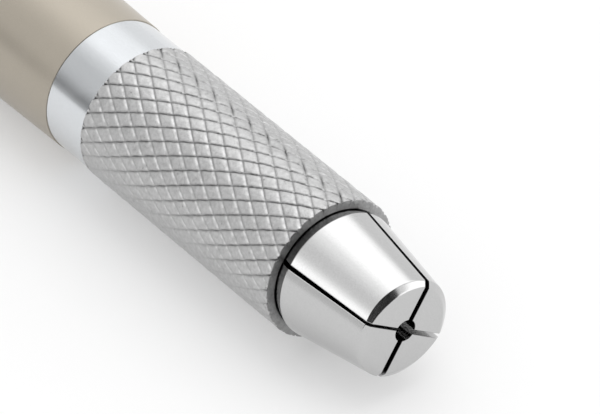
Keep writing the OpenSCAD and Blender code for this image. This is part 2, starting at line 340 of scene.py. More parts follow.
knurl_back, knurl_radius, knurl_angle, knurl_dark, knurl_painted_glint = knurl_grid()
print(f"knurl: {knurl_radius.shape[0]} rows of {knurl_radius.shape[1]} points")
print(f"deepest groove: {(GRIP_R - knurl_radius.min()) / MM:.2f} mm under the tops")

# %% [markdown]
# Inside, the grip has a conical seat at its mouth, a throat, and a wider bore for the joiner. These are
# plain rows added behind the knurl, darkened all over with painted shade. The knurl's last row has wound
# round by half its number of rows, so the rear face picks up the columns from there. The rim is as the
# lathe left it, a little darker than the rest, and its notches, where the grooves run out through its edge,
# carry the grooves' painted shade.

# %% Build the grip
MOUTH_R = 4.463 * MM
THROAT_R = 3.6 * MM
SEAT_DEEP = 2.82 * MM
RIM_STEPS = np.array([[0.1], [1.0]])
RIM_DARK = 0.26
# Painted shade in the rim's notches, where the grooves break out through its edge.
NOTCH_DARK = 0.5


def set_mask(piece, name, values):
    """Stores one number per point, for the material to read."""
    mask = piece.data.attributes.new(name, "FLOAT", "POINT")
    mask.data.foreach_set("value", np.asarray(values, np.float32).ravel())


def grip_mesh():
    """Closed surface: knurl rows, then rear face, joiner's bore, throat, seat and rim in turn."""
    rows, columns = knurl_radius.shape
    wound = (rows - 1) // 2
    joiner_at = station(JOINER_HIGH.x)
    inside = np.array([[GRIP_END, BORE_R], [joiner_at, BORE_R], [joiner_at, THROAT_R],
                       [RIM_AT + SEAT_DEEP, THROAT_R], [RIM_AT, MOUTH_R]])
    knurl = on_axis(knurl_back, knurl_radius, knurl_angle)
    inner = on_axis(inside[:, :1], inside[:, 1:], knurl_angle[:1])
    rim_r = knurl_radius[:1] - RIM_EDGE
    rim = on_axis(RIM_AT, MOUTH_R + (rim_r - MOUTH_R) * RIM_STEPS, knurl_angle[:1])
    points = np.concatenate([knurl, inner, rim])
    quads = grid_faces(rows, columns)
    slanted = np.concatenate([quads[:, [0, 1, 2]], quads[:, [0, 2, 3]]])
    plain = grid_faces(len(inside) + len(rim), columns) + rows * columns
    column = np.arange(columns)
    after = (column + 1) % columns
    last, first, edge = (rows - 1) * columns, rows * columns, (len(points) - 1) * columns
    rear = np.stack([last + (column + wound) % columns, last + (after + wound) % columns,
                     first + after, first + column], axis=-1)
    front = np.stack([edge + column, edge + after, after, column], axis=-1)
    # Painted shade: the seat, throat and bore inside are darkened all over.
    dark_inside = np.ones((len(inside), columns))
    dark_rim = RIM_DARK + NOTCH_DARK * RIM_STEPS * knurl_dark[:1]
    dark = np.concatenate([knurl_dark, dark_inside, dark_rim])
    bright = np.concatenate([knurl_painted_glint, 0 * dark_inside, 0 * dark_rim])
    faces = [*slanted.tolist(), *plain.tolist(), *rear.tolist(), *front.tolist()]
    return points, faces, dark, bright


grip_points, grip_faces, grip_dark, grip_painted_glint = grip_mesh()
grip = mesh_piece("knurled_grip", grip_points, grip_faces, "body", "grip_sleeve", "grip")
set_mask(grip, "groove", grip_dark)
set_mask(grip, "painted_glint", grip_painted_glint)

# %% [markdown]
# ## The collet's jaws
# Four jaws make the nose. Each is a quarter of one turned blank, parted from the next by a saw slit. Drawn
# together, they don't close quite evenly, so each slit has a width of its own at the nose. The blank could
# be cut with Boolean modifiers, but those leave hard, untidy edges, and polishing has rounded every edge
# of the real one. So a jaw is made by carrying its cross section along the axis.

# %% Outline of a jaw
CLAMP = next(m for m in frame["record"]["mounts"] if m["name"] == "lead_clamp")["dims"]
HOLD_R = CLAMP["r_mm"] * MM
HOLD_LEN = CLAMP["length_mm"] * MM
NOSE_R = 3.55 * MM
NOSE_FLAT_R = 3.08 * MM
NOSE_BEVEL = 0.385 * MM
HEAD_R = 4.65 * MM
HEAD_LEN = 7.2 * MM
FINGER_WALL = 1.0 * MM
ROOT_GAP = 0.05 * MM
ROOT_AT = station(STEM_HIGH.x) - ROOT_GAP
TAPER = math.radians(17)
SOFT = 0.025 * MM


def cone_r(back):
    """Radius of the head's cone, which grows evenly from the nose to the back of the head."""
    return NOSE_R + (HEAD_R - NOSE_R) * back / HEAD_LEN


def jaw_profile():
    """Rows from the nose face back: distance back, outside radius, bore radius, and how far edges flare."""
    taper_end = HEAD_LEN + (HEAD_R - FINGER_R) / math.tan(TAPER)
    corners = [[0, NOSE_FLAT_R - NOSE_BEVEL], [0, NOSE_FLAT_R], [NOSE_BEVEL, cone_r(NOSE_BEVEL)],
               [HEAD_LEN, HEAD_R], [taper_end, FINGER_R], [ROOT_AT - ROOT_GAP, FINGER_R]]
    cuts = [SOFT, 5 * SOFT, 3 * SOFT, 3 * SOFT, 9 * SOFT, SOFT]
    outside = rounded(corners, cuts, closed=False, steps=9)
    back = outside[:, 0]
    bore_end = FINGER_R - FINGER_WALL
    widens = HOLD_LEN + 2 * (bore_end - HOLD_R)
    bore = np.interp(back, [0, HOLD_LEN, widens], [HOLD_R, HOLD_R, bore_end])
    flare = SOFT * np.clip(1 - back / SOFT, 0, 1) ** 2
    return back, outside[:, 1], bore + flare, flare


jaw_rows = jaw_profile()
print(f"jaw: {len(jaw_rows[0])} rows, bore {2 * HOLD_R / MM:.1f} mm across")

# %% [markdown]
# Across the axis, a jaw is bounded by a big arc, two slit walls and the small arc of the bore. Polishing
# has worn the nose bevel most in the middle of each jaw, so there it is widest, and it narrows towards the
# slits. As on the outlines, points close to each soft corner keep the arc beside it smooth.

# %% Cross section of a jaw
SLIT_NOSE = np.array([0.40, 0.34, 0.42, 0.20]) * MM
SLIT_HEAD, SLIT_ROOT = 0.32 * MM, 0.6 * MM
BEVEL_BOW = 0.3
BEVEL_ROWS_END = NOSE_BEVEL + 5 * SOFT
OUTER_ARC = np.concatenate([[0, 0.004], np.linspace(0.025, 0.975, 39), [0.996, 1]])[None, :]
BORE_ARC = np.linspace(1, 0, 15)[None, :]
CORNER_STEPS = np.array([[0.3, 0.65, 1.0]])
# Share of the duller finish and painted shade on the soft corners beside each slit wall.
CORNER_DULL_AND_SHADED = [0, 0, 0.2]
WALL_STEPS = np.array([[0.1, 0.4, 0.8]])


def jaw_section(back, outside, bore, flare, slit_before, slit_after):
    """Closed loops of (distance back, radius, angle from the jaw's middle), and a mask that is 1 inside.

    Each loop runs over the outer arc, a soft corner, a slit wall, the bore, the other wall and corner.
    A slit lies 45 degrees to each side, so at radius r its wall stands at 45 degrees less
    asin(half slit / r). The nose bevel is bowed: it narrows with the square of the distance from the
    middle of the jaw.
    """
    on_bevel = (back < BEVEL_ROWS_END)[:, None]
    bow = np.where(on_bevel, 1 - BEVEL_BOW * (2 * OUTER_ARC - 1) ** 2, 1)
    arc_back = back[:, None] * bow
    cut = (cone_r(back) - outside)[:, None]
    arc_r = np.where(on_bevel, cone_r(arc_back) - cut * bow, outside[:, None])
    edge_r, bore = arc_r[:, -1:], bore[:, None]

    def wall(radius, slit):
        width = np.interp(back, [0, HEAD_LEN, ROOT_AT], [slit, SLIT_HEAD, SLIT_ROOT])
        return math.pi / 4 - np.arcsin((width / 2 + flare)[:, None] / radius)

    def fan(radius, trim, share):
        low, high = trim - wall(radius, slit_before), wall(radius, slit_after) - trim
        return low + (high - low) * share

    corner_r = edge_r - SOFT * CORNER_STEPS**2
    corner_trim = SOFT / edge_r * (1 - CORNER_STEPS) ** 2
    wall_r = (1 - WALL_STEPS) * (edge_r - SOFT) + WALL_STEPS * bore
    radius = np.concatenate([arc_r, corner_r, wall_r, bore + 0 * BORE_ARC, wall_r[:, ::-1],
                             corner_r[:, ::-1]], axis=1)
    angle = np.concatenate([fan(arc_r, SOFT / arc_r, OUTER_ARC), fan(corner_r, corner_trim, 1),
                            fan(wall_r, 0, 1), fan(bore, 0, BORE_ARC), fan(wall_r, 0, 0)[:, ::-1],
                            fan(corner_r, corner_trim, 0)[:, ::-1]], axis=1)
    rest = np.repeat(arc_back[:, -1:], radius.shape[1] - OUTER_ARC.size, axis=1)
    # Duller finish and painted shade on the slit walls and the bore.
    dull_and_shaded = np.ones(2 * WALL_STEPS.size + BORE_ARC.size)
    inside = np.concatenate([np.zeros(OUTER_ARC.size), CORNER_DULL_AND_SHADED, dull_and_shaded, CORNER_DULL_AND_SHADED[::-1]])
    return np.concatenate([arc_back, rest], axis=1), radius, angle, inside


print("slits at the nose, in mm:", SLIT_NOSE / MM)

# %% [markdown]
# Behind, each finger ends in a small round bead that sits in the stem and lets the finger swing. The head
# is polished, but its back taper, which slides on the seat, the walls of the slits and the bore are darker:
# partly a duller finish, and partly painted shade. A mask tells the material which points those are.

# %% Build the jaws
SLIT_TURN = math.radians(33)
BEAD_R = 0.3 * MM
BEAD_W = 1.6 * MM


def bead(middle, first, sides=24):
    """Short rod across the finger's root: a circle carried along the direction around the axis."""
    turn = np.linspace(0, FULL_TURN, sides, endpoint=False)[None, :]
    out = np.array([0, math.sin(middle), math.cos(middle)])
    across = np.array([0, math.cos(middle), -math.sin(middle)])
    centre = on_axis(ROOT_AT, FINGER_R - FINGER_WALL / 2, middle)
    circle = BEAD_R * (np.cos(turn)[..., None] * out + np.sin(turn)[..., None] * [1, 0, 0])
    points = centre + circle + np.array([-0.5, 0.5])[:, None, None] * BEAD_W * across
    near_end = np.arange(first, first + sides)
    far_end = near_end[::-1] + sides
    side_faces = grid_faces(2, sides)[:, ::-1] + first
    return points.reshape(-1, 3), [*side_faces.tolist(), near_end.tolist(), far_end.tolist()]


for number in range(1, 5):
    middle = SLIT_TURN + math.pi / 2 * (number - 0.5)
    slits = SLIT_NOSE[number - 1], SLIT_NOSE[number % 4]
    loop_back, loop_r, loop_angle, inside = jaw_section(*jaw_rows, *slits)
    rows, loop = loop_r.shape
    shell = on_axis(loop_back, loop_r, loop_angle + middle).reshape(-1, 3)
    nose_face = list(range(loop - 1, -1, -1))
    root_face = list(range((rows - 1) * loop, rows * loop))
    bead_points, bead_faces = bead(middle, len(shell))
    jaw_points = np.concatenate([shell, bead_points])
    jaw_faces = [*grid_faces(rows, loop).tolist(), nose_face, root_face, *bead_faces]
    jaw = mesh_piece(f"polished_jaw_{number}", jaw_points, jaw_faces,
                     f"jaw_{number}", f"collet_jaw_{number}", "collet")
    # Duller finish and painted shade on the slit walls, bore and whole back taper; none on the nose face
    # row.
    jaw_mask = np.tile(inside, (rows, 1))
    jaw_mask[0] = 0
    jaw_mask[jaw_rows[0] > HEAD_LEN] = 1
    set_mask(jaw, "inside", np.concatenate([jaw_mask.ravel(), np.ones(len(bead_points))]))

# %% [markdown]
# ## Ring, barrel and end collar
# These are plain turned pieces, so an outline is all they need. The bright ring and the collar at the back
# have crisp, lightly broken edges. The ring has a groove inside for its seal, and the barrel narrows very
# slightly towards the ring. A Bevel modifier could break the edges too, but in the outline each corner
# gets a cut of its own.

# %% Turn the ring and the barrel
EDGE = 0.12 * MM
FINE = 0.03 * MM
FRONT_TAPER = 10 * MM
SIDE_GAP = 0.05 * MM

groove_front = station(SEAL_HIGH.x) - SIDE_GAP
groove_back = station(SEAL_LOW.x) + SIDE_GAP
groove_r = half_height(SEAL_LOW, SEAL_HIGH) + PRESS_GAP
ring_corners = [[GRIP_END, RING_R], [RING_END, RING_R], [RING_END, BORE_R], [groove_back, BORE_R],
                [groove_back, groove_r], [groove_front, groove_r], [groove_front, BORE_R],
                [GRIP_END, BORE_R]]
ring_outline = rounded(ring_corners, [FINE] * len(ring_corners))
turned_piece("bright_ring", ring_outline, "body", "trim_ring", "bright_ring")

barrel_corners = [[RING_END, RING_R + 2 * FINE], [RING_END + FRONT_TAPER, BARREL_R],
                  [BARREL_END, BARREL_R], [BARREL_END, BORE_R], [RING_END, BORE_R]]
barrel_outline = rounded(barrel_corners, [FINE, FRONT_TAPER / 3, 2 * EDGE, EDGE, FINE])
turned_piece("champagne_barrel", barrel_outline, "body", "barrel_tube", "barrel")

# %% [markdown]
# The collar closes the barrel at the back. Its front part is a spigot, a thinner neck that is pushed into
# the barrel, and the button slides in its bore.

# %% Turn the end collar
SEAT_GAP = 0.07 * MM

collar_bore = BUTTON_R + SEAT_GAP
spigot_at = station(END_HIGH.x)
collar_end = station(END_LOW.x)
collar_corners = [[BARREL_END, RING_R], [collar_end, RING_R], [collar_end, collar_bore],
                  [spigot_at, collar_bore], [spigot_at, JOINER_R], [BARREL_END, JOINER_R]]
collar_outline = rounded(collar_corners, [EDGE, 2 * EDGE, EDGE, FINE, FINE, FINE])
turned_piece("bright_end_collar", collar_outline, "body", "end_collar", "bright_ring")

# %% [markdown]
# ## The push button
# The button is a hollow cap with a shallow dome that takes the thumb. Its outline is open: it starts on the
# axis at the floor of the hollow and ends on the axis at the top of the dome, which is part of a circle.

# %% Turn the button
DOME_R = 9 * MM
DOME_POINTS = 14


def button_outline():
    """Open outline from the middle of the hollow's floor, over the front rim and back over the dome."""
    button_at, button_end = station(BUTTON_HIGH.x), station(BUTTON_LOW.x)
    floor_at = station(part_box("lead_tube")[0].x) + PRESS_GAP
    hollow_r = half_height(INSERT_LOW, INSERT_HIGH) + PRESS_GAP
    lean = np.linspace(math.asin(BUTTON_R / DOME_R), 0, DOME_POINTS)
    dome = np.stack([button_end - DOME_R + DOME_R * np.cos(lean), DOME_R * np.sin(lean)], axis=-1)
    corners = [[floor_at, 0], [floor_at, hollow_r], [button_at, hollow_r], [button_at, BUTTON_R],
               dome[0], dome[2]]
    start = rounded(corners, [FINE, EDGE, EDGE, EDGE, 2 * EDGE, FINE], closed=False)
    return np.concatenate([start, dome[3:]])


turned_piece("push_button_cap", button_outline(), "button", "push_button", "button", closed=False)

# %% [markdown]
# ## The return spring
# The spring is hidden, but it shows when the pencil is taken apart, so it is wound as a real one: its end
# turns lie close together and give it a flat seat. The wire is a circle carried along a helix.

# %% Wind the spring
WIRE_R = 0.25 * MM
END_PITCH = 2.1 * WIRE_R
SPRING_TURNS = 13
SPRING_R = half_height(SPRING_LOW, SPRING_HIGH) - WIRE_R
SPRING_LEN = SPRING_HIGH.x - SPRING_LOW.x


def spring_mesh(per_turn=36, sides=10):
    """Tube about a helix. The distance back grows slowly on the first and last turn, evenly between."""
    turns = np.linspace(0, SPRING_TURNS, SPRING_TURNS * per_turn + 1)[:, None]
    run = SPRING_LEN - 2 * WIRE_R
    along = np.interp(turns, [0, 1, SPRING_TURNS - 1, SPRING_TURNS], [0, END_PITCH, run - END_PITCH, run])
    around = np.linspace(0, FULL_TURN, sides, endpoint=False)[None, :]
    points = on_axis(station(SPRING_HIGH.x) + WIRE_R + along - WIRE_R * np.sin(around),
                     SPRING_R + WIRE_R * np.cos(around), FULL_TURN * turns)
    last = (len(turns) - 1) * sides
    ends = [list(range(sides - 1, -1, -1)), list(range(last, last + sides))]
    return points, [*grid_faces(len(turns), sides).tolist(), *ends]


spring_points, spring_faces = spring_mesh()
spring = mesh_piece("wound_spring", spring_points, spring_faces, "body", "return_spring", "steel",
                    sharp_deg=60)
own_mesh(spring)

# %% [markdown]
# ## Shared effects
# Three small marks of use and making recur on the metals: fine lines around the axis left by the lathe,
# a fine grain left by blasting, and faint smudges left by fingers. Each is a node group with named sockets,
# so that every material can ask for its own amount. They read Object coordinates, which are metres here.
# The lathe's lines are noise that changes only along X.

# %% Lathe lines
MM_PER_METRE = 1000.0


def add(tree, kind, sockets=None, **settings):
    """Adds a node, applies its settings, and fills sockets with values or with links."""
    node = tree.nodes.new(kind)
    for name, value in settings.items():
        setattr(node, name, value)
    for key, value in (sockets or {}).items():
        if isinstance(value, bpy.types.NodeSocket):
            tree.links.new(value, node.inputs[key])
        else:
            node.inputs[key].default_value = value
    return node


def maths(tree, operation, *values, clamp=False):
    """Result of one sum, product or the like of two or three values or sockets."""
    node = add(tree, "ShaderNodeMath", dict(enumerate(values)), operation=operation, use_clamp=clamp)
    return node.outputs[0]


def own_place(tree):
    """Place of each point on the piece, in metres."""
    return add(tree, "ShaderNodeTexCoord").outputs["Object"]


def effect(name, inputs, outputs):
    """New node group with the named number sockets; gives the group, its input node and its output node."""
    group = bpy.data.node_groups.new(name, "ShaderNodeTree")
    for socket, value in inputs.items():
        made = group.interface.new_socket(socket, in_out="INPUT", socket_type="NodeSocketFloat")
        made.default_value = value
    for socket in outputs:
        group.interface.new_socket(socket, in_out="OUTPUT", socket_type="NodeSocketFloat")
    return group, group.nodes.new("NodeGroupInput"), group.nodes.new("NodeGroupOutput")


lathe, given, put = effect("lathe lines", {"Lines per mm": 12.0}, ["Height"])
place = add(lathe, "ShaderNodeSeparateXYZ", {0: own_place(lathe)})
per_metre = maths(lathe, "MULTIPLY", given.outputs["Lines per mm"], MM_PER_METRE)
along = maths(lathe, "MULTIPLY", place.outputs["X"], per_metre)
lines = add(lathe, "ShaderNodeTexNoise", {"W": along, "Scale": 1.0, "Detail": 3.0}, noise_dimensions="1D")
lathe.links.new(lines.outputs[0], put.inputs["Height"])
print("effect:", lathe.name, "with", len(lathe.nodes), "nodes")

# %% [markdown]
# Grain and smudges are both noise, fine and coarse. A map of one span of numbers to another picks out
# what a material needs: the lighter and darker specks of the grain, its few deep pits, and the soft
# patches of the smudges.


# %% Grain and smudges
def spread(tree, value, span=(0.0, 1.0), to=(0.0, 1.0), kind="LINEAR"):
    """Value carried from one span of numbers to another, and held at the ends."""
    sockets = {"Value": value, "From Min": span[0], "From Max": span[1], "To Min": to[0], "To Max": to[1]}
    return add(tree, "ShaderNodeMapRange", sockets, interpolation_type=kind).outputs["Result"]


grain, given, put = effect("blasted grain", {"Grain mm": 0.1}, ["Height", "Specks", "Pits"])
per_metre = maths(grain, "DIVIDE", MM_PER_METRE, given.outputs["Grain mm"])
pebbles = add(grain, "ShaderNodeTexNoise", {"Vector": own_place(grain), "Scale": per_metre, "Detail": 4.0,
                                            "Roughness": 0.65})
grain.links.new(pebbles.outputs[0], put.inputs["Height"])
grain.links.new(spread(grain, pebbles.outputs[0], (0.35, 0.65)), put.inputs["Specks"])
grain.links.new(spread(grain, pebbles.outputs[0], (0.68, 0.74)), put.inputs["Pits"])

smudge, given, put = effect("finger smudges", {"Patch mm": 4.0}, ["Smudge"])
per_metre = maths(smudge, "DIVIDE", MM_PER_METRE, given.outputs["Patch mm"])
patches = add(smudge, "ShaderNodeTexNoise", {"Vector": own_place(smudge), "Scale": per_metre, "Detail": 4.0,
                                             "Distortion": 0.6})
smudge.links.new(spread(smudge, patches.outputs[0], (0.45, 0.75), kind="SMOOTHSTEP"), put.inputs["Smudge"])
print("effects:", [group.name for group in (lathe, grain, smudge)])

# %% [markdown]
# ## Materials
# A material's colour changes over a piece where a mask says so: painted shade, with some dirt, lies in the
# grooves, for example. The masks were stored with the points, because that follows the shape exactly. An
# Attribute node reads one, and a Mix node goes from one colour to another by it.


# %% Mix colours by a mask
def mixed(tree, amount, first, second):
    """Colour between two colours, by an amount; each is three numbers or a socket."""
    pair = [c if isinstance(c, bpy.types.NodeSocket) else (*c, 1) for c in (first, second)]
    return add(tree, "ShaderNodeMix", {0: amount, 6: pair[0], 7: pair[1]}, data_type="RGBA").outputs[2]


def mask_of(tree, name):
    """Numbers that a piece stores at its points under a name."""
    return add(tree, "ShaderNodeAttribute", attribute_name=name).outputs["Fac"]


print("masks on the grip:", [mask.name for mask in grip.data.attributes if mask.data_type == "FLOAT"])

# %% [markdown]
# A polished metal is mostly a mirror, so its colour is the colour of its reflections. The smudges make it
# a little rougher in patches, and the lathe lines bend the reflections very slightly. One recipe serves
# all the metals: with more grain it gives the satin barrel, and with more lines the plain brass inside.

# %% Recipe for a metal
UM = 0.000001
# Size and range of the patches that make the painted shade uneven.
PATCHY_DARK_MM = 0.9
PATCHY_DARK_RANGE = 0.85, 1.3


def metal(name, colour, polish, lines=(12.0, 0.0), grain_mm=0.1, grain_deep=0.0, smudged=0.1, mottled=0.07,
          pitted=0.0, bare=1.0, painted_highlight="", painted_highlight_colour=(1, 1, 1), shade_and_dirt="", shade_and_dirt_colour=(0, 0, 0)):
    """Metal whose roughness rises with smudges, with lathe lines and grain as bumps.

    The pair called lines holds their number in a millimetre and their depth. The metal is brighter where
    its highlight mask says, as a painted highlight, and darker where its shade mask says, as painted shade
    with some real darkening of the piece, in uneven patches.
    """
    material = bpy.data.materials.new(name)
    material.use_nodes = True
    tree = material.node_tree
    shader = tree.nodes["Principled BSDF"]
    shader.inputs["Metallic"].default_value = bare
    marks = add(tree, "ShaderNodeGroup", {"Lines per mm": lines[0]}, node_tree=lathe)
    pebbles = add(tree, "ShaderNodeGroup", {"Grain mm": grain_mm}, node_tree=grain)
    fingers = add(tree, "ShaderNodeGroup", node_tree=smudge)
    tone = mixed(tree, pebbles.outputs["Specks"], colour, [c * (1 - mottled) for c in colour])
    if pitted:
        tone = mixed(tree, pebbles.outputs["Pits"], tone, [c * (1 - pitted) for c in colour])
    # Painted highlight where its mask says.
    if painted_highlight:
        tone = mixed(tree, mask_of(tree, painted_highlight), tone, painted_highlight_colour)
    # Painted shade, with some real darkening of the piece, where its mask says, in uneven patches.
    if shade_and_dirt:
        patchiness = add(tree, "ShaderNodeGroup", {"Patch mm": PATCHY_DARK_MM}, node_tree=smudge)
        patchy = spread(tree, patchiness.outputs["Smudge"], to=PATCHY_DARK_RANGE)
        amount = maths(tree, "MULTIPLY", mask_of(tree, shade_and_dirt), patchy, clamp=True)
        tone = mixed(tree, amount, tone, shade_and_dirt_colour)
    rough = spread(tree, fingers.outputs["Smudge"], to=(polish, polish + smudged))
    ridges = add(tree, "ShaderNodeBump", {"Height": marks.outputs["Height"], "Strength": 1.0,
                                          "Distance": lines[1]})
    bumps = add(tree, "ShaderNodeBump", {"Height": pebbles.outputs["Height"], "Strength": 1.0,
                                         "Distance": grain_deep, "Normal": ridges.outputs["Normal"]})
    tree.links.new(tone, shader.inputs["Base Color"])
    tree.links.new(rough, shader.inputs["Roughness"])
    tree.links.new(bumps.outputs["Normal"], shader.inputs["Normal"])
    return material


finish = {}
# The mask inside darkens the jaws' slit walls, bore and back taper: partly a duller finish, partly painted
# shade.
finish["collet"] = metal("polished chrome", (0.56, 0.56, 0.56), polish=0.13, lines=(9.0, 0.3 * UM),
                         smudged=0.05, shade_and_dirt="inside", shade_and_dirt_colour=(0.3, 0.3, 0.3))
print("polished chrome:", len(finish["collet"].node_tree.nodes), "nodes")

# %% [markdown]
# The grip is steel with a coarse grain. Its two masks put painted shade, with some dirt, into the grooves
# and a painted highlight beside the faint grooves. The barrel is anodised aluminium: the tinted skin is set
# half way between metal and paint, because full metal would mirror too much, and it has a very fine grain.

# %% The other metals
# One mask gives a painted highlight, the other painted shade with some dirt.
finish["grip"] = metal("knurled steel", (0.54, 0.54, 0.54), polish=0.38, grain_mm=0.27,
                       grain_deep=55 * UM, mottled=0.17, pitted=0.7, painted_highlight="painted_glint",
                       painted_highlight_colour=(0.9, 0.9, 0.9), shade_and_dirt="groove", shade_and_dirt_colour=(0.03, 0.03, 0.03))
finish["bright_ring"] = metal("bright chrome", (0.69, 0.71, 0.73), polish=0.14, lines=(14.0, 0.5 * UM),
                              smudged=0.05)
finish["barrel"] = metal("champagne anodised", (0.43, 0.388, 0.325), polish=0.30, grain_mm=0.07,
                         grain_deep=1.5 * UM, bare=0.5)
finish["button"] = metal("satin nickel", (0.70, 0.70, 0.69), polish=0.22, lines=(10.0, 1.0 * UM))
finish["brass"] = metal("turned brass", (0.80, 0.62, 0.32), polish=0.22, lines=(8.0, 2.5 * UM))
finish["steel"] = metal("spring steel", (0.56, 0.57, 0.58), polish=0.28, grain_mm=0.2, grain_deep=2 * UM)
print("metals:", sorted(finish))

# %% [markdown]
# Two small rings inside are rubber. Rubber isn't a metal: it scatters light, so it is dark, rough and a
# little uneven in tone. The grain does for its dusty skin.

# %% Rubber
RUBBER_DARK = 0.018, 0.018, 0.018
RUBBER_DUSTY = 0.035, 0.034, 0.033
rubber = bpy.data.materials.new("black rubber")
rubber.use_nodes = True
tree = rubber.node_tree
shader = tree.nodes["Principled BSDF"]
dust = add(tree, "ShaderNodeGroup", {"Grain mm": 0.3}, node_tree=grain)
skin = add(tree, "ShaderNodeBump", {"Height": dust.outputs["Height"], "Strength": 1.0, "Distance": 5 * UM})
tree.links.new(mixed(tree, dust.outputs["Specks"], RUBBER_DARK, RUBBER_DUSTY), shader.inputs["Base Color"])
tree.links.new(skin.outputs["Normal"], shader.inputs["Normal"])
shader.inputs["Roughness"].default_value = 0.7
finish["rubber"] = rubber
print("black rubber:", len(tree.nodes), "nodes")

# %% [markdown]
# The part's record says which finish each solid has. Solids that keep their own mesh, such as the brass
# pieces inside, get it from there, and each new piece takes the finish that its slot names.

# %% Put the materials on
slot_of = {part["node"]: part["material_slot"] for part in frame["record"]["subparts"]}
for name, node in frame["nodes"].items():
    node.data.materials.clear()
    node.data.materials.append(finish[slot_of[name]])
for piece in bpy.data.objects:
    if "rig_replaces" in piece:
        piece.data.materials.append(finish[piece["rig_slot"]])
dressed = [piece for piece in bpy.data.objects if piece.type == "MESH" and piece.data.materials]
print("pieces with a material:", len(dressed))

# %% [markdown]
# ## Floor and light
# The pencil lies on a white table, as in a product photograph. A white floor alone would come out grey
# under soft light, so it glows a little, but only where the camera or a mirror looks at it: that leaves
# the soft light between surfaces, and with it the pencil's shadow, as it would be.

# %% Floor
FLOOR_HALF = 15.0
FLOOR_DROP = 0.05 * MM
FLOOR_LIFT = 0.33
FLOOR_GREY = 0.62


def seen_directly(tree):
    """1 for rays from the camera, from mirrors and through glass; 0 for the soft light between surfaces."""
    path = add(tree, "ShaderNodeLightPath").outputs
    straight = maths(tree, "MAXIMUM", path["Is Camera Ray"], path["Is Glossy Ray"])
    return maths(tree, "MAXIMUM", straight, path["Is Transmission Ray"])


def stage_piece(name, points, faces, material):
    """Object that isn't part of the pencil, such as the floor."""
    mesh = bpy.data.meshes.new(name)
    points = np.asarray(points, float).reshape(-1, 3)
    mesh.from_pydata(points.tolist(), [], [list(map(int, f)) for f in faces])
    mesh.materials.append(material)
    piece = bpy.data.objects.new(name, mesh)
    bpy.context.scene.collection.objects.link(piece)
    print(f"{name}: {len(mesh.polygons)} faces")
    return piece


paper = bpy.data.materials.new("white table")
paper.use_nodes = True
tree = paper.node_tree
shader = tree.nodes["Principled BSDF"]
shader.inputs["Base Color"].default_value = (FLOOR_GREY, FLOOR_GREY, FLOOR_GREY, 1)
shader.inputs["Roughness"].default_value = 0.9
shader.inputs["Specular IOR Level"].default_value = 0.0
shader.inputs["Emission Color"].default_value = (1, 1, 1, 1)
tree.links.new(maths(tree, "MULTIPLY", seen_directly(tree), FLOOR_LIFT), shader.inputs["Emission Strength"])
square = np.array([[-1, -1, 0], [1, -1, 0], [1, 1, 0], [-1, 1, 0]])
stage_piece("floor", square * FLOOR_HALF - [0, 0, FLOOR_DROP], [[0, 1, 2, 3]], paper)

# %% [markdown]
# The room around is white as well. It gives a little less light than it shows, so that the shadow under
# the pencil isn't filled up by it.

# %% World
ROOM_LIGHT, ROOM_SEEN = 0.9, 1.0
world = bpy.data.worlds.new("white room")
bpy.context.scene.world = world
world.use_nodes = True
tree = world.node_tree
background = tree.nodes["Background"]
background.inputs["Color"].default_value = (1, 1, 1, 1)
strength = spread(tree, seen_directly(tree), to=(ROOM_LIGHT, ROOM_SEEN))
tree.links.new(strength, background.inputs["Strength"])
print(f"world: strength {ROOM_LIGHT} as light, {ROOM_SEEN} where it is seen")

# %% [markdown]
# Polished metal only looks like metal if it has something darker to mirror, so a photographer stands a
# grey card in front, out of the picture. Its grey goes up and down with height, and each level becomes a
# band along the metal. The nose mirrors the near end of the card and the ring its far end, so the two ends
# have levels of their own. A Color Ramp holds them: marks from 0 to 1, and the grey at each.

# %% Levels of the grey card
FAR_LEVELS = {0.0: 0.52, 0.2: 0.26, 0.36: 0.44, 0.52: 0.63, 0.70: 0.70, 0.86: 0.70, 0.95: 0.84, 0.99: 1.0}
NEAR_LEVELS = {0.0: 0.92, 0.1: 0.79, 0.2: 0.75, 0.28: 0.76, 0.38: 1.9, 0.48: 1.85, 0.57: 1.45, 0.67: 1.08,
               0.79: 0.97, 0.88: 1.0, 0.95: 1.2, 0.99: 1.4}


def grey_ramp(tree, share, levels):
    """Grey that follows the card's height, from marks (share of its radius) to levels."""
    ramp = add(tree, "ShaderNodeValToRGB", {0: share})
    points = ramp.color_ramp.elements
    while len(points) < len(levels):
        points.new(0.5)
    for point, (mark, level) in zip(points, levels.items()):
        point.position = mark
        point.color = (level, level, level, 1)
    return ramp.outputs["Color"]


print("levels on the card:", len(FAR_LEVELS), "far and", len(NEAR_LEVELS), "near")

# %% [markdown]
# The card is a curved sheet that glows by its levels. It is hidden from everything but mirrors, so that it
# neither shows in the picture nor takes light from the pencil.

# %% Grey card
CARD_R = 0.6
CARD_HALF = 2.0
CARD_ARC = np.radians(np.linspace(-2, 84, 44))[:, None]
CARD_CHANGE = -0.42, -0.30


def sheet_look(name):
    """New material whose node tree has an output but no surface yet."""
    look = bpy.data.materials.new(name)
    look.use_nodes = True
    look.node_tree.nodes.remove(look.node_tree.nodes["Principled BSDF"])
    return look, look.node_tree


def mirrored_sheet(name, points, faces, material):
    """Stage piece that only mirrors see."""
    sheet = stage_piece(name, points, faces, material)
    sheet.visible_camera = sheet.visible_diffuse = False
    sheet.visible_shadow = sheet.visible_transmission = False


def card_mesh():
    """Curved sheet in front of the pencil: an arc from the horizon to nearly overhead, carried along X."""
    x = np.array([[-CARD_HALF, CARD_HALF]])
    y, z, x = np.broadcast_arrays(-CARD_R * np.cos(CARD_ARC), CARD_R * np.sin(CARD_ARC), x)
    return np.stack([x, y, z], axis=-1), grid_faces(len(CARD_ARC), 2, close_columns=False)


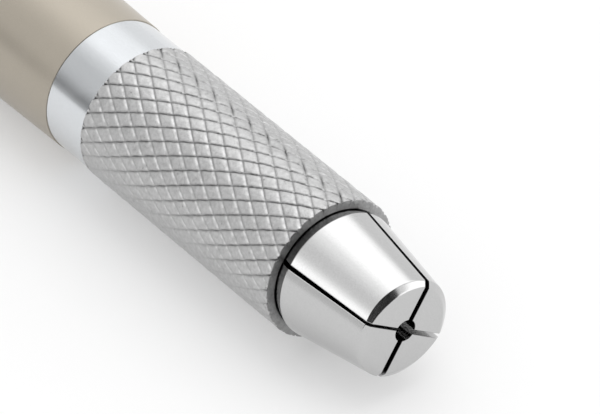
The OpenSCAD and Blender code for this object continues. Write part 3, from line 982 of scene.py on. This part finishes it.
card_look, tree = sheet_look("grey card")
place = add(tree, "ShaderNodeSeparateXYZ", {0: own_place(tree)})
height = maths(tree, "DIVIDE", place.outputs["Z"], CARD_R)
far, near = [grey_ramp(tree, height, levels) for levels in (FAR_LEVELS, NEAR_LEVELS)]
side = spread(tree, place.outputs["X"], CARD_CHANGE)
blend = add(tree, "ShaderNodeMix", {0: side, 6: far, 7: near}, data_type="RGBA")
glow = add(tree, "ShaderNodeEmission", {"Color": blend.outputs[2], "Strength": 1.0})
tree.links.new(glow.outputs[0], tree.nodes["Material Output"].inputs["Surface"])
mirrored_sheet("grey_card", *card_mesh(), card_look)

# %% [markdown]
# The bevel of the nose mirrors the camera's side of the room, which is dark in the picture. A dark
# cap of a sphere stands there, with a soft edge, again only for the metal to see.

# %% Dark flag
FLAG_R = 0.55
FLAG_WAY = Vector((0.80, -0.50, 0.33)).normalized()
FLAG_HALF, FLAG_EDGE = math.radians(50), math.radians(46)
FLAG_GLOW = 0.02


def flag_mesh(rings=12, sides=48):
    """Cap of a sphere about the nose: rings at growing angles from its middle, around the way it faces."""
    turn = np.array(FLAG_WAY.to_track_quat("Z", "Y").to_matrix())
    lean = np.linspace(0.01, FLAG_HALF, rings)[:, None]
    around = np.linspace(0, FULL_TURN, sides, endpoint=False)[None, :]
    cap = [np.sin(lean) * np.cos(around), np.sin(lean) * np.sin(around), np.cos(lean) + 0 * around]
    return FLAG_R * np.stack(cap, axis=-1) @ turn.T + [NOSE_X, 0, AXIS_Z], grid_faces(rings, sides)


flag_look, tree = sheet_look("dark flag")
away = add(tree, "ShaderNodeVectorMath", {0: own_place(tree), 1: (NOSE_X, 0, AXIS_Z)}, operation="SUBTRACT")
facing = add(tree, "ShaderNodeVectorMath", {0: away.outputs[0], 1: FLAG_WAY / FLAG_R},
             operation="DOT_PRODUCT")
cover = spread(tree, facing.outputs["Value"], (math.cos(FLAG_HALF), math.cos(FLAG_EDGE)), kind="SMOOTHSTEP")
dark = add(tree, "ShaderNodeEmission", {"Color": (1, 1, 1, 1), "Strength": FLAG_GLOW})
clear = add(tree, "ShaderNodeBsdfTransparent")
veil = add(tree, "ShaderNodeMixShader", {0: cover, 1: clear.outputs[0], 2: dark.outputs[0]})
tree.links.new(veil.outputs[0], tree.nodes["Material Output"].inputs["Surface"])
mirrored_sheet("dark_flag", *flag_mesh(), flag_look)

# %% [markdown]
# The lamp overhead is a soft box: bright in the middle and fading towards its edges, so its image in the
# metal has no hard outline. An area lamp would be mirrored as an even rectangle. So a sheet with a glow
# that fades stands for its face, and the lamp itself only lights the scene.

# %% Soft box
BOX_HIGH = 0.8
BOX_X, BOX_Y = (-1.6, 0.6), (-0.4, 1.6)
BOX_RISE, BOX_FALL = (-0.35, 0.2), (0.5, 1.5)
BOX_STEP, BOX_LEVELS = (-0.65, -0.5), (0.25, 0.95)
box_look, tree = sheet_look("soft box")
spot = add(tree, "ShaderNodeSeparateXYZ", {0: own_place(tree)})
rise = spread(tree, spot.outputs["Y"], BOX_RISE, kind="SMOOTHSTEP")
fall = spread(tree, spot.outputs["Y"], BOX_FALL, (1.0, 0.0), kind="SMOOTHSTEP")
along = spread(tree, spot.outputs["X"], BOX_STEP, BOX_LEVELS, kind="SMOOTHSTEP")
level = maths(tree, "MULTIPLY_ADD", maths(tree, "MULTIPLY", rise, fall), along, 1.0)
glow = add(tree, "ShaderNodeEmission", {"Color": (1, 1, 1, 1), "Strength": level})
tree.links.new(glow.outputs[0], tree.nodes["Material Output"].inputs["Surface"])
box_corners = [[BOX_X[0], BOX_Y[0], BOX_HIGH], [BOX_X[1], BOX_Y[0], BOX_HIGH],
               [BOX_X[1], BOX_Y[1], BOX_HIGH], [BOX_X[0], BOX_Y[1], BOX_HIGH]]
mirrored_sheet("soft_box", box_corners, [[0, 1, 2, 3]], box_look)

# %% [markdown]
# Two area lamps do the lighting. The big one overhead makes the soft shadow and is left out of mirrors,
# because the sheet stands for it there. A small one, low behind the nose on the right, edges the metal
# with light.

# %% Lamps
OVERHEAD_AT = -0.2, 0.35


def soft_lamp(name, place, size, watts, target):
    """Rectangular area lamp that looks at a target."""
    lamp = bpy.data.lights.new(name, "AREA")
    lamp.shape = "RECTANGLE"
    lamp.size, lamp.size_y = size
    lamp.energy = watts
    holder = bpy.data.objects.new(name, lamp)
    holder.location = place
    holder.rotation_euler = (Vector(target) - Vector(place)).to_track_quat("-Z", "Y").to_euler()
    holder.visible_camera = False
    bpy.context.scene.collection.objects.link(holder)
    return holder


overhead = soft_lamp("overhead", (*OVERHEAD_AT, BOX_HIGH), size=(1.0, 0.9), watts=2.6,
                     target=(*OVERHEAD_AT, 0))
overhead.visible_glossy = False
soft_lamp("right_back", (0.74, 0.565, 0.2), size=(0.62, 0.34), watts=0.63, target=(NOSE_X, 0, AXIS_Z))

# %% [markdown]
# ## Camera
# The picture was taken from well above and to the right of the nose, with a long lens: lines along the
# pencil hardly draw together. The nose lies to the right of the middle and below it, so the camera is
# placed by where it sees the nose.

# %% Set the camera
LENS = 413.9
AZIMUTH, ELEVATION = math.radians(52.9), math.radians(38.1)
NOSE_RIGHT, NOSE_DOWN, DISTANCE = 6.765 * MM, 7.955 * MM, 442.97 * MM

towards = Vector((math.sin(AZIMUTH) * math.cos(ELEVATION), -math.cos(AZIMUTH) * math.cos(ELEVATION),
                  math.sin(ELEVATION)))
turn = (-towards).to_track_quat("-Z", "Y")
right, up = turn @ Vector((1, 0, 0)), turn @ Vector((0, 1, 0))
lens = bpy.data.cameras.new("camera")
lens.lens = LENS
lens.sensor_width = 36
lens.clip_start, lens.clip_end = 0.01, 100
camera = bpy.data.objects.new("camera", lens)
camera.location = Vector((NOSE_X, 0, AXIS_Z)) - NOSE_RIGHT * right + NOSE_DOWN * up + DISTANCE * towards
camera.rotation_mode = "QUATERNION"
camera.rotation_quaternion = turn
bpy.context.scene.collection.objects.link(camera)
bpy.context.scene.camera = camera
bpy.context.scene.view_settings.view_transform = "Standard"
print("camera at, in mm:", [round(v / MM) for v in camera.location])
